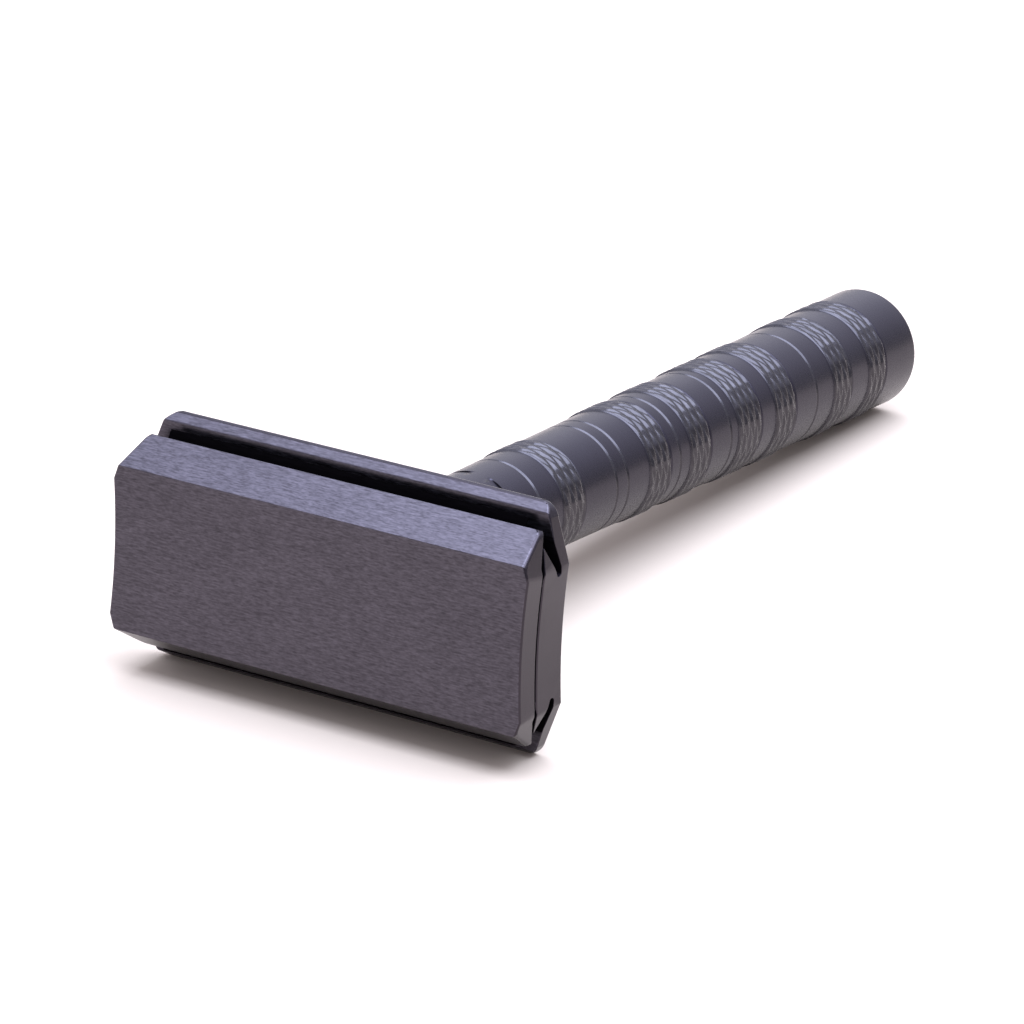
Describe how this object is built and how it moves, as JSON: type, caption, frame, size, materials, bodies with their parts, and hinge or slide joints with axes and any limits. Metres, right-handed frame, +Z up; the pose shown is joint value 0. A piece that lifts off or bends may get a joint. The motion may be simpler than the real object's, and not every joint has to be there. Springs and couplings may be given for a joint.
{
  "type": "safety razor",
  "caption": "Three-piece double-edge safety razor with a flat bevelled head, solid guard bars and a tapered round handle with grooved bands.",
  "frame": {"origin": "centre of the bottom of the bounding box, on the surface that the razor lies on", "axes": "+X along the blade, +Y from the head towards the butt of the handle, +Z up, with the razor lying on its guard and butt"},
  "size_m": [0.0436, 0.103, 0.0234],
  "materials": {
    "anodised_plate": "dark anodised, fine brushed grain along the head",
    "anodised_handle": "dark anodised, satin turned",
    "stud_steel": "machined stainless steel",
    "blade_steel": "dark coated spring steel"
  },
  "bodies": {
    "handle": {"handle": "anodised_handle"},
    "base": {"base_plate": "anodised_plate"},
    "cap": {"cap": "anodised_plate", "clamp_stud": "stud_steel", "locating_pin_left": "stud_steel", "locating_pin_right": "stud_steel"},
    "blade": {"blade": "blade_steel"}
  },
  "joints": [
    {"name": "head_turn", "type": "hinge", "parent": "handle", "child": "base", "pos_m": [0, -0.05105, 0.01206], "axis": [0, -0.9983, 0.0578], "range_deg": [0, 3600]},
    {"name": "cap_lift", "type": "slide", "parent": "base", "child": "cap", "axis": [0, -0.9983, 0.0578], "range_m": [0, 0.0081]},
    {"name": "blade_lift", "type": "slide", "parent": "base", "child": "blade", "axis": [0, -0.9983, 0.0578], "range_m": [0, 0.0041]}
  ],
  "couplings": [
    {"joint": "cap_lift", "follows": "head_turn", "m_per_rad": 0.00012732},
    {"joint": "blade_lift", "follows": "head_turn", "m_per_rad": 0.000063662}
  ]
}
